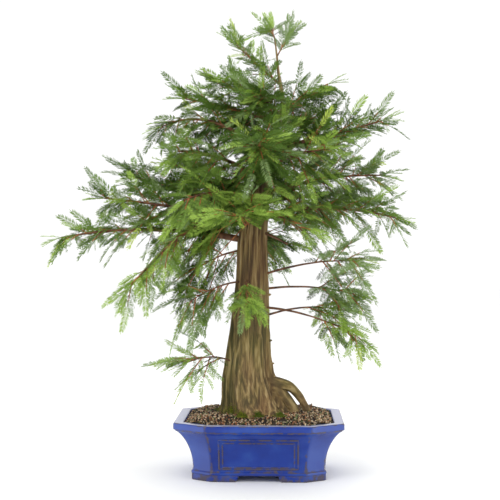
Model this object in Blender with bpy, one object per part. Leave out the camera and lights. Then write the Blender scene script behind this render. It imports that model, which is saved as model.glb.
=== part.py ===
# A bald cypress grown as a bonsai, in a glazed pot with eight sides.
# Metres, +Z up. The front of the pot faces -Y, and its feet stand on Z = 0.
import math
import random

import bmesh
import bpy
from mathutils import Matrix, Vector
from mathutils.bvhtree import BVHTree
from mathutils.kdtree import KDTree

SEED = 11
CLEARANCE = 0.0003  # between solids that touch
UP = Vector((0, 0, 1))

# Pot: a long octagon whose walls curve in below an upright rim
POT_LENGTH = 0.400
POT_DEPTH = 0.313
POT_HEIGHT = 0.137
CORNER_LENGTH = 0.077  # what each corner cut takes off the long side
CORNER_DEPTH = 0.046  # and off the short side
RIM_HEIGHT = 0.016
RIM_STEP = 0.005
RIM_ROUNDING = 0.002
LIP_WIDTH = 0.024
WALL_BOTTOM = 0.025
WALL_TOP = 0.118
WALL_INSET = 0.045
WALL_CURVE = 0.78
WALL_STEPS = (0, 0.3, 0.55, 0.75, 0.88, 0.96, 1)
LEDGE_OUT = 0.004
FOOT_HEIGHT = 0.014
FOOT_INSET = 0.044
FOOT_WIDTH = 0.026
FOOT_GAP_LONG = 0.093  # between two feet on a long side, at the top
FOOT_GAP_SHORT = 0.070
FOOT_SLOPE = 0.008
PANEL_DEPTH = 0.0025
PANEL_BOTTOM = 0.034
PANEL_TOP = 0.096
PANEL_HALF_LONG = 0.082
PANEL_HALF_SHORT = 0.056
CAVITY = ((0.030, 0.056), (0.075, 0.050), (0.110, 0.030), (POT_HEIGHT, LIP_WIDTH))  # height, inset

# Soil: just under the lip at the pot's wall, and heaped up to the trunk
SOIL_EDGE = 0.132
SOIL_TOP = 0.1497
MOUND_CENTRE = (0.012, 0.006)
MOUND_LENGTH = 0.262
MOUND_DEPTH = 0.196

# Trunk: (height, sideways place, radius) from the soil to the leader's tip
GROUND = SOIL_TOP + CLEARANCE
TRUNK_LINE = (
    (GROUND, -0.003, 0.088),
    (0.165, -0.010, 0.078),
    (0.197, -0.019, 0.069),
    (0.251, -0.027, 0.057),
    (0.340, -0.024, 0.047),
    (0.460, -0.018, 0.040),
    (0.553, -0.018, 0.036),
    (0.607, -0.012, 0.032),
    (0.681, 0.000, 0.025),
    (0.733, 0.013, 0.0185),
    (0.798, 0.031, 0.011),
    (0.842, 0.041, 0.0075),
    (0.888, 0.056, 0.0060),
    (0.928, 0.053, 0.0050),
    (0.968, 0.046, 0.0038),
    (1.010, 0.042, 0.0025),
    (1.060, 0.036, 0.0015),
)
TRUNK_SIDES = 14
TRUNK_FLUTES = 7
FLUTE_DEPTH = 0.10  # share of the radius, at the soil
FLUTE_FADE = 0.22  # metres of height over which the flutes grow shallow

# Flying root: leaves the trunk's foot on the right and comes down clear of it
ROOT_LINE = ((0.010, 0.222), (0.048, 0.216), (0.072, 0.208), (0.087, 0.193), (0.099, 0.174), (0.113, 0.140))
ROOT_RADII = (0.018, 0.014, 0.012, 0.0095, 0.0085, 0.0095)
ROOT_DEPTH = -0.012

# Limbs: (name, height on the trunk, azimuth in degrees, reach, rise, arch, bare share,
# spread of its foliage, droop of its sprays). A bare share of 0 starts the foliage at the trunk.
LIMBS = (
    ("left_long", 0.560, 180, 0.52, 0.000, 0.030, 0.34, 0.085, 0.25),
    ("left_droop", 0.620, -156, 0.37, -0.240, 0.075, 0.40, 0.100, 0.55),
    ("left_mid", 0.600, 179, 0.42, 0.070, 0.012, 0.38, 0.100, 0.15),
    ("left_back", 0.620, 154, 0.41, 0.120, 0.010, 0.40, 0.115, 0.10),
    ("left_arch", 0.760, -177, 0.31, 0.050, 0.070, 0.42, 0.090, 0.45),
    ("left_front", 0.710, -148, 0.28, 0.050, 0.030, 0.00, 0.110, 0.25),
    ("left_top", 0.850, 171, 0.28, 0.070, 0.010, 0.00, 0.095, 0.10),
    ("left_high", 0.860, -175, 0.20, 0.110, 0.010, 0.00, 0.090, 0.00),
    ("left_fore", 0.660, -138, 0.28, -0.030, 0.030, 0.00, 0.105, 0.35),
    ("left_inner", 0.680, 164, 0.28, 0.080, 0.010, 0.00, 0.105, 0.10),
    ("left_under", 0.540, -173, 0.20, -0.110, 0.030, 0.00, 0.100, 0.45),
    ("left_low", 0.460, -146, 0.22, -0.080, 0.030, 0.30, 0.080, 0.45),
    ("left_twig", 0.240, -154, 0.21, 0.000, 0.045, 0.34, 0.070, 0.35),
    ("right_long", 0.620, -8, 0.39, -0.020, 0.030, 0.42, 0.095, 0.30),
    ("right_shoulder", 0.670, 4, 0.35, 0.050, 0.020, 0.40, 0.105, 0.15),
    ("right_arm", 0.780, -4, 0.32, 0.085, 0.000, 0.40, 0.090, -0.10),
    ("right_mid", 0.730, -38, 0.24, 0.040, 0.020, 0.00, 0.110, 0.20),
    ("right_high", 0.870, 2, 0.16, 0.090, 0.010, 0.00, 0.085, -0.05),
    ("right_fore", 0.620, -56, 0.24, -0.070, 0.030, 0.38, 0.100, 0.50),
    ("right_under", 0.590, -14, 0.13, -0.070, 0.010, 0.00, 0.080, 0.55),
    ("right_low_a", 0.470, -25, 0.32, 0.040, 0.020, 0.50, 0.085, 0.25),
    ("right_low_b", 0.440, -6, 0.30, -0.020, 0.020, 0.50, 0.080, 0.30),
    ("right_low_c", 0.365, 8, 0.28, 0.010, 0.030, 0.48, 0.075, 0.25),
    ("right_twig", 0.400, -17, 0.32, -0.100, 0.030, 0.56, 0.055, 0.30),
    ("front_low", 0.470, -95, 0.19, -0.110, 0.030, 0.30, 0.045, 0.60),
    ("front_mid", 0.600, -97, 0.29, 0.000, 0.020, 0.40, 0.120, 0.35),
    ("front_high", 0.750, -97, 0.26, 0.010, 0.020, 0.00, 0.105, 0.20),
    ("front_top", 0.870, -115, 0.18, 0.030, 0.010, 0.00, 0.090, 0.10),
    ("back_low", 0.560, 82, 0.32, -0.010, 0.020, 0.42, 0.110, 0.35),
    ("back_left", 0.620, 122, 0.33, 0.010, 0.020, 0.42, 0.110, 0.30),
    ("back_right", 0.650, 42, 0.35, 0.010, 0.020, 0.42, 0.115, 0.25),
    ("back_mid", 0.750, 87, 0.28, 0.050, 0.010, 0.00, 0.110, 0.20),
    ("back_high_left", 0.820, 130, 0.22, 0.080, 0.000, 0.00, 0.095, 0.05),
    ("back_high_right", 0.840, 50, 0.20, 0.060, 0.000, 0.00, 0.095, 0.05),
    ("top_shoot", 0.940, 172, 0.15, 0.140, 0.000, 0.00, 0.065, -0.25),
    ("top_right", 1.010, 0, 0.05, 0.095, 0.000, 0.00, 0.045, -0.30),
    ("apex", 1.050, 178, 0.02, 0.080, 0.000, 0.00, 0.045, -0.30),
)
BOUGH_RADIUS = 0.0026  # of every bough, to which its length adds
BOUGH_TAPER = 0.011  # radius added for each metre of reach
STEM_TIP = 0.0009
BOUGH_SIDES = 6
BOUGH_RINGS = 5
STEM_SIDES = 3
STEM_RINGS = 5
WAVE = 0.010  # how far a limb wanders sideways

# Foliage: twigs on either side of a stem, and a toothed blade for each spray of needles
TWIG_SPACING = 0.050
TWIG_RADIUS = 0.0011
TWIG_ANGLE = 52  # degrees between a twig and its stem
TWIG_SWAY = 14
TWIG_TILT = 60  # degrees by which a twig leaves the level
SHORTEST_TWIG = 0.020
INNER_SHARE = 0.14  # of a stem, bare where it leaves the trunk
BLADE_LENGTH = 0.100
BLADE_WIDTH = 0.046
BLADE_TEETH = 2
BLADE_THICKNESS = 0.0018
BLADE_SINK = 0.0005
BLADE_ANGLE = 48  # degrees between a spray and the twig that it leaves
TIP_SHARE = 0.92  # of a spray's length, past the end of its stem
MARGIN = 0.0008  # kept between pieces of different solids
STEM_SAMPLES = 9


# Plain shapes, each a list of points and a list of faces


def tube_shape(points, radii, sides, headings=None, flutes=None):
    """A tapering tube along points, closed at both ends."""
    rings = []
    side = None
    for index, centre in enumerate(points):
        before = points[max(index - 1, 0)]
        after = points[min(index + 1, len(points) - 1)]
        along = headings[index] if headings else (after - before).normalized()
        if side is None:
            side = along.orthogonal().normalized()
        side = (side - along * side.dot(along)).normalized()
        other = along.cross(side)
        for step in range(sides):
            turn = 2 * math.pi * step / sides
            radius = radii[index] * (flutes(index, turn) if flutes else 1)
            rings.append(centre + (side * math.cos(turn) + other * math.sin(turn)) * radius)
    faces = []
    for ring in range(len(points) - 1):
        for step in range(sides):
            a = ring * sides + step
            b = ring * sides + (step + 1) % sides
            faces.append((a, b, b + sides, a + sides))
    faces.append(tuple(reversed(range(sides))))
    faces.append(tuple(range(len(rings) - sides, len(rings))))
    return rings, faces


def blade_shape(length, width, thickness):
    """A spray of needles as one toothed blade along +X, thickest in its middle."""
    edge = []
    for tooth in range(BLADE_TEETH):
        start = (tooth + 0.25) / (BLADE_TEETH + 0.3)
        bulge = math.sin(math.pi * (0.20 + 0.66 * (tooth + 0.5) / BLADE_TEETH))
        if tooth:
            edge.append((start * length, 0.52 * bulge * width / 2))
        edge.append(((start + 0.22) * length, bulge * width / 2))
    outline = [(0, 0), *edge, (length, 0)]
    outline += [(x, -y) for x, y in reversed(edge)]
    points = [Vector((x, y, 0)) for x, y in outline]
    count = len(points)
    points.append(Vector((length * 0.45, 0, thickness / 2)))
    points.append(Vector((length * 0.45, 0, -thickness / 2)))
    faces = []
    for index in range(count):
        after = (index + 1) % count
        faces.append((after, index, count))
        faces.append((index, after, count + 1))
    return points, faces


def placed(shape, matrix):
    points, faces = shape
    return [matrix @ point for point in points], faces


def loft_shape(levels):
    """A closed solid through level outlines of equal point counts."""
    count = len(levels[0])
    points = [point for level in levels for point in level]
    faces = []
    for level in range(len(levels) - 1):
        for step in range(count):
            a = level * count + step
            b = level * count + (step + 1) % count
            faces.append((a, b, b + count, a + count))
    faces.append(tuple(reversed(range(count))))
    faces.append(tuple(range(len(points) - count, len(points))))
    return points, faces


# Objects and the ways they are joined and cut


def new_object(name, shape, material=None):
    points, faces = shape
    mesh = bpy.data.meshes.new(name)
    mesh.from_pydata(points, [], faces)
    work = bmesh.new()
    work.from_mesh(mesh)
    bmesh.ops.recalc_face_normals(work, faces=work.faces)
    work.to_mesh(mesh)
    work.free()
    obj = bpy.data.objects.new(name, mesh)
    bpy.context.scene.collection.objects.link(obj)
    if material:
        mesh.materials.append(material)
    return obj


def surface(name, colour, roughness, metallic=0.0):
    material = bpy.data.materials.new(name)
    material.use_nodes = True
    shader = material.node_tree.nodes["Principled BSDF"]
    shader.inputs["Base Color"].default_value = (*colour, 1)
    shader.inputs["Roughness"].default_value = roughness
    shader.inputs["Metallic"].default_value = metallic
    return material


def bake_modifiers(obj):
    """Replaces an object's mesh with what its modifiers make of it."""
    graph = bpy.context.evaluated_depsgraph_get()
    made = bpy.data.meshes.new_from_object(obj.evaluated_get(graph))
    obj.modifiers.clear()
    obj.data = made


def combine(obj, others, operation, solver="EXACT"):
    """One Boolean of an object with several others, which are then removed."""
    group = bpy.data.collections.new("joining")
    bpy.context.scene.collection.children.link(group)
    for other in others:
        group.objects.link(other)
    modifier = obj.modifiers.new("join", "BOOLEAN")
    modifier.operation = operation
    modifier.operand_type = "COLLECTION"
    modifier.collection = group
    modifier.solver = solver
    bake_modifiers(obj)
    for other in others:
        bpy.data.objects.remove(other)
    bpy.data.collections.remove(group)


def keep_largest_piece(obj):
    """Drops loose scrap, so that the object is one body."""
    work = bmesh.new()
    work.from_mesh(obj.data)
    unseen = set(work.verts)
    pieces = []
    while unseen:
        edge = [unseen.pop()]
        piece = set(edge)
        while edge:
            vert = edge.pop()
            for link in vert.link_edges:
                other = link.other_vert(vert)
                if other in unseen:
                    unseen.discard(other)
                    piece.add(other)
                    edge.append(other)
        pieces.append(piece)
    pieces.sort(key=len)
    for piece in pieces[:-1]:
        bmesh.ops.delete(work, geom=list(piece), context="VERTS")
    bmesh.ops.triangulate(work, faces=work.faces)
    work.to_mesh(obj.data)
    work.free()


def shade(obj, angle=40):
    obj.data.shade_smooth()
    obj.data.set_sharp_from_angle(angle=math.radians(angle))


# Pot and soil


def octagon(inset, height):
    """The pot's outline at a height, moved in by an inset on every side."""
    half_x = POT_LENGTH / 2 - inset
    half_y = POT_DEPTH / 2 - inset
    slant = math.hypot(CORNER_LENGTH, CORNER_DEPTH)
    # A cut corner moves in as far as the sides do, which shortens the sides beside it.
    along_x = POT_LENGTH / 2 - CORNER_LENGTH - inset * (slant - CORNER_LENGTH) / CORNER_DEPTH
    along_y = POT_DEPTH / 2 - CORNER_DEPTH - inset * (slant - CORNER_DEPTH) / CORNER_LENGTH
    quarter = ((half_x, along_y), (along_x, half_y))
    ring = []
    for sign_x, sign_y in ((1, 1), (-1, 1), (-1, -1), (1, -1)):
        pair = quarter if sign_x * sign_y > 0 else reversed(quarter)
        ring += [Vector((sign_x * x, sign_y * y, height)) for x, y in pair]
    return ring


def wall_inset(height):
    rise = (height - WALL_BOTTOM) / (WALL_TOP - WALL_BOTTOM)
    rise = min(max(rise, 0), 1)
    return RIM_STEP + (WALL_INSET - RIM_STEP) * (1 - rise**2) ** WALL_CURVE


def panel_cutter(half_width, half_reach, turn):
    """A prism that cuts a sunk panel, following the wall's curve."""
    steps = 5
    profile = []
    for step in range(steps + 1):
        height = PANEL_BOTTOM + (PANEL_TOP - PANEL_BOTTOM) * step / steps
        profile.append((half_reach - wall_inset(height) - PANEL_DEPTH, height))
    profile += [(half_reach, PANEL_TOP), (half_reach, PANEL_BOTTOM)]
    levels = [[Vector((x, -y, z)) for y, z in profile] for x in (-half_width, half_width)]
    return placed(loft_shape(levels), Matrix.Rotation(math.radians(turn), 4, "Z"))


def foot_gap_cutter(gap, reach, turn):
    """A prism between two feet, wider at the ground."""
    profile = (
        (-gap / 2 - FOOT_SLOPE, -0.01),
        (gap / 2 + FOOT_SLOPE, -0.01),
        (gap / 2, FOOT_HEIGHT),
        (-gap / 2, FOOT_HEIGHT),
    )
    levels = [[Vector((x, y, z)) for x, z in profile] for y in (-reach, reach)]
    return placed(loft_shape(levels), Matrix.Rotation(math.radians(turn), 4, "Z"))


def make_pot():
    glaze = surface("blue_glaze", (0.014, 0.050, 0.400), 0.18)
    outer = [
        octagon(WALL_INSET, FOOT_HEIGHT),
        octagon(WALL_INSET - LEDGE_OUT, FOOT_HEIGHT + 0.003),
        octagon(WALL_INSET - LEDGE_OUT, FOOT_HEIGHT + 0.008),
    ]
    for step in WALL_STEPS:
        height = WALL_BOTTOM + (WALL_TOP - WALL_BOTTOM) * step
        outer.append(octagon(wall_inset(height), height))
    outer += [
        octagon(0, POT_HEIGHT - RIM_HEIGHT),
        octagon(0, POT_HEIGHT - RIM_ROUNDING),
        octagon(RIM_ROUNDING, POT_HEIGHT),
    ]
    pot = new_object("pot", loft_shape(outer), glaze)
    feet = [octagon(FOOT_INSET, 0), octagon(FOOT_INSET, FOOT_HEIGHT + 0.006)]
    foot_ring = new_object("foot_ring", loft_shape(feet))
    hollow = [octagon(FOOT_INSET + FOOT_WIDTH, -0.01), octagon(FOOT_INSET + FOOT_WIDTH, FOOT_HEIGHT)]
    under = [
        new_object("foot_hollow", loft_shape(hollow)),
        new_object("gap_long", foot_gap_cutter(FOOT_GAP_LONG, POT_DEPTH, 0)),
        new_object("gap_short", foot_gap_cutter(FOOT_GAP_SHORT, POT_LENGTH, 90)),
    ]
    combine(foot_ring, under, "DIFFERENCE")
    combine(pot, [foot_ring], "UNION")
    inside = [octagon(inset, height) for height, inset in CAVITY]
    inside.append(octagon(LIP_WIDTH, POT_HEIGHT + 0.01))
    cutters = [new_object("cavity", loft_shape(inside))]
    for turn in (0, 180):
        cutters.append(new_object("panel", panel_cutter(PANEL_HALF_LONG, POT_DEPTH / 2, turn)))
    for turn in (90, 270):
        cutters.append(new_object("panel", panel_cutter(PANEL_HALF_SHORT, POT_LENGTH / 2, turn)))
    combine(pot, cutters, "DIFFERENCE")
    keep_largest_piece(pot)
    shade(pot, 25)
    return pot


def make_soil():
    grit = surface("soil_grit", (0.150, 0.095, 0.055), 0.95)
    levels = [octagon(CAVITY[0][1] + CLEARANCE, CAVITY[0][0] + CLEARANCE)]
    for height, inset in CAVITY[1:-1]:
        levels.append(octagon(inset + CLEARANCE * 2, height))
    (low, low_inset), (high, high_inset) = CAVITY[-2:]
    share = (SOIL_EDGE - low) / (high - low)
    levels.append(octagon(low_inset + (high_inset - low_inset) * share + CLEARANCE * 2, SOIL_EDGE))
    mound = []
    for corner in octagon(0, SOIL_TOP):
        x = MOUND_CENTRE[0] + corner.x * MOUND_LENGTH / POT_LENGTH
        y = MOUND_CENTRE[1] + corner.y * MOUND_DEPTH / POT_DEPTH
        mound.append(Vector((x, y, SOIL_TOP)))
    levels.append(mound)
    soil = new_object("soil", loft_shape(levels), grit)
    shade(soil)
    return soil


# Trunk and boughs


def between(line, height):
    """Smooth place and radius on the trunk's line at a height."""
    height = min(max(height, line[0][0]), line[-1][0])
    for index in range(len(line) - 1):
        if height <= line[index + 1][0]:
            break
    a = line[max(index - 1, 0)]
    b = line[index]
    c = line[index + 1]
    d = line[min(index + 2, len(line) - 1)]
    share = (height - b[0]) / (c[0] - b[0])
    values = []
    for axis in (1, 2):
        slope_b = (c[axis] - a[axis]) / (c[0] - a[0]) * (c[0] - b[0])
        slope_c = (d[axis] - b[axis]) / (d[0] - b[0]) * (c[0] - b[0])
        values.append(
            b[axis] * (2 * share**3 - 3 * share**2 + 1)
            + slope_b * (share**3 - 2 * share**2 + share)
            + c[axis] * (3 * share**2 - 2 * share**3)
            + slope_c * (share**3 - share**2)
        )
    return values


def trunk_point(height):
    return Vector((between(TRUNK_LINE, height)[0], 0, height))


def make_trunk():
    bark = surface("bark", (0.190, 0.125, 0.060), 0.9)
    top = TRUNK_LINE[-1][0]
    rings = 26
    heights = [GROUND + (top - GROUND) * (step / rings) ** 1.25 for step in range(rings + 1)]
    points = []
    radii = []
    for height in heights:
        place, radius = between(TRUNK_LINE, height)
        points.append(Vector((place, 0, height)))
        radii.append(radius)

    def flutes(index, turn):
        fade = math.exp(-(heights[index] - GROUND) / FLUTE_FADE)
        fade *= min(radii[index] / 0.02, 1)
        wave = math.cos(TRUNK_FLUTES * turn + 0.8) + 0.5 * math.sin(3 * turn)
        return 1 + FLUTE_DEPTH * fade * wave

    shape = tube_shape(points, radii, TRUNK_SIDES, None, flutes)
    # The lowest ring lies level, because the trunk is cut flat at the soil.
    for index in range(TRUNK_SIDES):
        shape[0][index].z = GROUND
    trunk = new_object("trunk", shape, bark)
    line = [Vector((x, ROOT_DEPTH, z)) for x, z in ROOT_LINE]
    root = new_object("flying_root", tube_shape(line, ROOT_RADII, 8))
    cut = new_object("ground_cut", ground_slab())
    combine(root, [cut], "DIFFERENCE")
    combine(trunk, [root], "UNION")
    keep_largest_piece(trunk)
    shade(trunk, 50)
    return trunk


def ground_slab():
    reach = 0.3
    corners = ((-reach, -reach), (reach, -reach), (reach, reach), (-reach, reach))
    levels = [[Vector((x, y, z)) for x, y in corners] for z in (GROUND - 0.1, GROUND)]
    return loft_shape(levels)


class Limb:
    """A bough with its foliage, from the trunk's middle to its furthest tip."""

    def __init__(self, index, sizes):
        self.index = index
        self.name, self.height, azimuth, self.reach, self.rise = sizes[:5]
        self.arch, self.bare, self.spread, self.droop = sizes[5:]
        turn = math.radians(azimuth)
        self.out = Vector((math.cos(turn), math.sin(turn), 0))
        self.side = UP.cross(self.out)
        self.start = trunk_point(self.height)
        trunk_radius = between(TRUNK_LINE, self.height)[1]
        self.root_radius = min(BOUGH_RADIUS + BOUGH_TAPER * self.reach, trunk_radius * 0.7)
        self.phase = random.Random(SEED + index).uniform(0, 2 * math.pi)
        # The stem stops short of the limb's reach, which its last spray makes up.
        length = (self.point(1) - self.start).length
        self.end = 1 - TIP_SHARE * BLADE_LENGTH / length

    def point(self, share):
        wander = WAVE * math.sin(math.pi * share) * math.sin(5 * share + self.phase)
        lift = self.rise * share + self.arch * 4 * share * (1 - share)
        return self.start + self.out * self.reach * share + self.side * wander + UP * lift

    def along(self, share):
        step = 0.01
        return (self.point(share + step) - self.point(share - step)).normalized()

    def radius(self, share):
        return self.root_radius + (STEM_TIP - self.root_radius) * share

    def tube(self, first, last, rings, sides):
        """The limb's wood between two shares of its length, cut square at both ends."""
        shares = [first + (last - first) * step / (rings - 1) for step in range(rings)]
        points = [self.point(share) for share in shares]
        radii = [self.radius(share) for share in shares]
        headings = [self.along(share) for share in shares]
        return tube_shape(points, radii, sides, headings)


def make_bough(limb, wood, trunk_cutter):
    bough = new_object("bough_" + limb.name, limb.tube(0, limb.bare, BOUGH_RINGS, BOUGH_SIDES), wood)
    combine(bough, [copy_of(trunk_cutter)], "DIFFERENCE")
    keep_largest_piece(bough)
    shade(bough)
    return bough


def copy_of(obj):
    twin = obj.copy()
    twin.data = obj.data.copy()
    return twin


def grown(obj, amount):
    """A copy of an object whose surface stands out by an amount."""
    twin = copy_of(obj)
    bpy.context.scene.collection.objects.link(twin)
    for vert in twin.data.vertices:
        vert.co = vert.co + vert.normal * amount
    return twin


# Foliage


def tree_of(shapes):
    """A search tree over the faces of several shapes."""
    points = []
    faces = []
    for shape_points, shape_faces in shapes:
        first = len(points)
        points += shape_points
        faces += [tuple(first + corner for corner in face) for face in shape_faces]
    return BVHTree.FromPolygons(points, faces)


def shape_of(obj):
    mesh = obj.data
    return [vert.co.copy() for vert in mesh.vertices], [tuple(face.vertices) for face in mesh.polygons]


def facing(origin, along, normal):
    """The frame at origin with +X along a spray and +Z near its normal."""
    along = along.normalized()
    across = normal.cross(along).normalized()
    return Matrix((
        (*[along.x, across.x, along.cross(across).x], origin.x),
        (*[along.y, across.y, along.cross(across).y], origin.y),
        (*[along.z, across.z, along.cross(across).z], origin.z),
        (0, 0, 0, 1),
    ))


class Mass:
    """The foliage at the end of one limb, kept to the space nearest to its stem."""

    def __init__(self, limb, spaces, limbs_tree, others_tree):
        self.limb = limb
        self.spaces = spaces
        self.trees = [tree for tree in (limbs_tree, others_tree) if tree]
        self.random = random.Random(SEED * 100 + limb.index)
        self.shapes = []
        self.own_trees = []

    def fits(self, wide_shape, probes):
        for probe in probes:
            nearest = self.spaces.find(probe)[1]
            if nearest // STEM_SAMPLES != self.limb.index:
                return False
        tree = tree_of([wide_shape])
        return not any(tree.overlap(other) for other in self.trees + self.own_trees)

    def add_blade(self, origin, along, normal, size):
        length = BLADE_LENGTH * size
        width = BLADE_WIDTH * (0.6 + 0.4 * size)
        frame = facing(origin - along.normalized() * BLADE_SINK, along, normal)
        wide = placed(blade_shape(length + MARGIN, width + MARGIN, BLADE_THICKNESS + MARGIN * 2), frame)
        tip = frame @ Vector((length, 0, 0))
        middle = frame @ Vector((length * 0.55, 0, 0))
        if not self.fits(wide, (tip, middle)):
            return False
        shape = placed(blade_shape(length, width, BLADE_THICKNESS), frame)
        self.shapes.append(shape)
        self.own_trees.append(tree_of([shape]))
        return True

    def blade(self, origin, along, normal, size):
        """Tries a spray as asked, then turned a little or shorter, and else leaves it out."""
        for attempt in range(5):
            sway = Vector([self.random.uniform(-1, 1) for _ in range(3)]) * 0.22 * attempt
            if self.add_blade(origin, along + sway, normal + sway, size * (1 - 0.07 * attempt)):
                return True
        return False

    def normal(self):
        """Which way a spray's flat side faces: mostly up or outwards, and never twice the same."""
        limb = self.limb
        pick = self.random.uniform
        return UP * pick(0.1, 1.0) + limb.out * pick(0.0, 0.9) + limb.side * pick(-0.9, 0.9)

    def twig(self, share, hand):
        """One twig on a side of the stem, with a spray at its end and one on either side."""
        limb = self.limb
        pick = self.random.uniform
        along = limb.along(share)
        level_side = UP.cross(along).normalized() * hand
        tilt = math.radians(pick(-TWIG_TILT, TWIG_TILT))
        side = level_side * math.cos(tilt) + UP * math.sin(tilt)
        angle = math.radians(TWIG_ANGLE + pick(-TWIG_SWAY, TWIG_SWAY))
        direction = along * math.cos(angle) + side * math.sin(angle)
        direction = (direction - UP * limb.droop * 0.5).normalized()
        reach = limb.spread * (1.1 - 0.5 * self.progress(share)) * pick(0.85, 1.15)
        length = max(reach - BLADE_LENGTH * 0.5, SHORTEST_TWIG)
        origin = limb.point(share)
        end = origin + direction * length
        radii = (TWIG_RADIUS * 1.25, TWIG_RADIUS * 0.8)
        wide_radii = [radius + MARGIN for radius in radii]
        wide = tube_shape([origin + direction * 0.006, end], wide_radii, 3)
        if not self.fits(wide, (end,)):
            return
        count = len(self.shapes)
        self.shapes.append(tube_shape([origin, end], radii, 3))
        hang = UP * limb.droop * 0.8
        turn = math.radians(BLADE_ANGLE)
        across = direction.cross(UP).normalized()
        added = self.blade(end, direction - hang, self.normal(), pick(0.9, 1.15))
        for place, sign in ((0.40, 1), (0.75, -1)):
            base = origin + (end - origin) * place
            splay = direction * math.cos(turn) + across * sign * math.sin(turn)
            added |= self.blade(base, splay - hang, self.normal(), pick(0.75, 1.0))
        if not added:
            del self.shapes[count:]

    def spray(self, share, hand):
        """One spray straight on the stem."""
        limb = self.limb
        along = limb.along(share)
        turn = math.radians(self.random.uniform(-180, 180))
        side = UP.cross(along).normalized() * hand * math.cos(turn) + UP * math.sin(turn)
        direction = along * 0.7 + side * 0.8 - UP * limb.droop * 0.6
        self.blade(limb.point(share), direction, self.normal(), self.random.uniform(0.8, 1.05))

    def progress(self, share):
        return (share - self.limb.bare) / (self.limb.end - self.limb.bare)

    def grow(self):
        """Grows everything on the stem and gives back the stem's shape."""
        limb = self.limb
        gap_step = (limb.point(limb.bare + 0.01) - limb.point(limb.bare)).length / 0.01
        first = limb.bare + (2 * CLEARANCE / gap_step if limb.bare else 0)
        length = limb.reach * (limb.end - limb.bare)
        count = max(2, round(length / TWIG_SPACING))
        inner = 0.03 if limb.bare else INNER_SHARE
        self.blade(limb.point(limb.end), limb.along(limb.end) - UP * limb.droop * 0.4, self.normal(), 1.0)
        for step in range(count):
            place = inner + (0.95 - inner) * (step + 0.5) / count
            share = limb.bare + (limb.end - limb.bare) * place
            hand = 1 if step % 2 else -1
            self.twig(share, hand)
            self.twig(share + 0.015, -hand)
            self.spray(share + 0.03, hand)
        return limb.tube(first, limb.end, STEM_RINGS, STEM_SIDES)


def make_mass(limb, needles, spaces, limbs_tree, others, trunk_cutter):
    mass = Mass(limb, spaces, limbs_tree, tree_of(others) if others else None)
    stem = mass.grow()
    obj = new_object("mass_" + limb.name, stem, needles)
    pieces = [new_object("piece", shape) for shape in mass.shapes]
    combine(obj, pieces, "UNION", "MANIFOLD")
    if not limb.bare:
        combine(obj, [copy_of(trunk_cutter)], "DIFFERENCE")
    keep_largest_piece(obj)
    others.append(shape_of(obj))
    return obj


def stem_spaces(limbs):
    spaces = KDTree(len(limbs) * STEM_SAMPLES)
    for limb in limbs:
        for sample in range(STEM_SAMPLES):
            share = limb.bare + (limb.end - limb.bare) * sample / (STEM_SAMPLES - 1)
            spaces.insert(limb.point(share), limb.index * STEM_SAMPLES + sample)
    spaces.balance()
    return spaces


def centre_on_origin(objects):
    """Moves everything so that the middle of its box stands over the origin."""
    lowest = [min(vert.co[axis] for obj in objects for vert in obj.data.vertices) for axis in (0, 1)]
    highest = [max(vert.co[axis] for obj in objects for vert in obj.data.vertices) for axis in (0, 1)]
    shift = Vector((-(lowest[0] + highest[0]) / 2, -(lowest[1] + highest[1]) / 2, 0))
    for obj in objects:
        obj.data.transform(Matrix.Translation(shift))


def clear_scene():
    for obj in list(bpy.data.objects):
        bpy.data.objects.remove(obj)


def main():
    clear_scene()
    pot = make_pot()
    soil = make_soil()
    trunk = make_trunk()
    limbs = [Limb(index, sizes) for index, sizes in enumerate(LIMBS)]
    wood = surface("young_wood", (0.130, 0.055, 0.028), 0.8)
    needles = surface("needles", (0.095, 0.190, 0.040), 0.6)
    trunk_cutter = grown(trunk, CLEARANCE)
    boughs = [make_bough(limb, wood, trunk_cutter) for limb in limbs if limb.bare]
    limbs_tree = tree_of([shape_of(obj) for obj in (trunk, soil, pot, *boughs)])
    spaces = stem_spaces(limbs)
    others = []
    masses = [
        make_mass(limb, needles, spaces, limbs_tree, others, trunk_cutter) for limb in limbs
    ]
    bpy.data.objects.remove(trunk_cutter)
    centre_on_origin([pot, soil, trunk, *boughs, *masses])


main()
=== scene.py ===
import math
import random

import bpy
import numpy as np
from mathutils import Matrix, Vector, noise


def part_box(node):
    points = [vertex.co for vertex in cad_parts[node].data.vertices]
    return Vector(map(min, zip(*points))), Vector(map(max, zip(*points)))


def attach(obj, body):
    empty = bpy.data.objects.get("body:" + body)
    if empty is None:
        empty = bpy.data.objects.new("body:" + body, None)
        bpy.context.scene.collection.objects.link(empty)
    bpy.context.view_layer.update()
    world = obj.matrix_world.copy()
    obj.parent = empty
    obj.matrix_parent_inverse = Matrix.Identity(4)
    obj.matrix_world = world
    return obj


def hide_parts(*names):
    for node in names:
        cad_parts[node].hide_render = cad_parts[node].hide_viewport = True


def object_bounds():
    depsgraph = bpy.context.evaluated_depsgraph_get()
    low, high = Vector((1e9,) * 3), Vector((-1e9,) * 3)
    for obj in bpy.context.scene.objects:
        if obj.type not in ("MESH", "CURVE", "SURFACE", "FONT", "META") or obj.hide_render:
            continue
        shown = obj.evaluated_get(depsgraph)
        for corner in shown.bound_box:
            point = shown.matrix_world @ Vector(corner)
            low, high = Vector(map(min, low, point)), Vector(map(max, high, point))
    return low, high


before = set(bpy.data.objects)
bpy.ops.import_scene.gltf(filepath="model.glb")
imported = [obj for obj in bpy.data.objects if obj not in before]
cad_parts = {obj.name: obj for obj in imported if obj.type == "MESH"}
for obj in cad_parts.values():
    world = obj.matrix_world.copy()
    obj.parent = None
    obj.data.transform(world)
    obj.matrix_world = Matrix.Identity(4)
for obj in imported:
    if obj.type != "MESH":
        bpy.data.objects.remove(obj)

CAD_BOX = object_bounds()
SEED = 11
UP = Vector((0, 0, 1))

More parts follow.
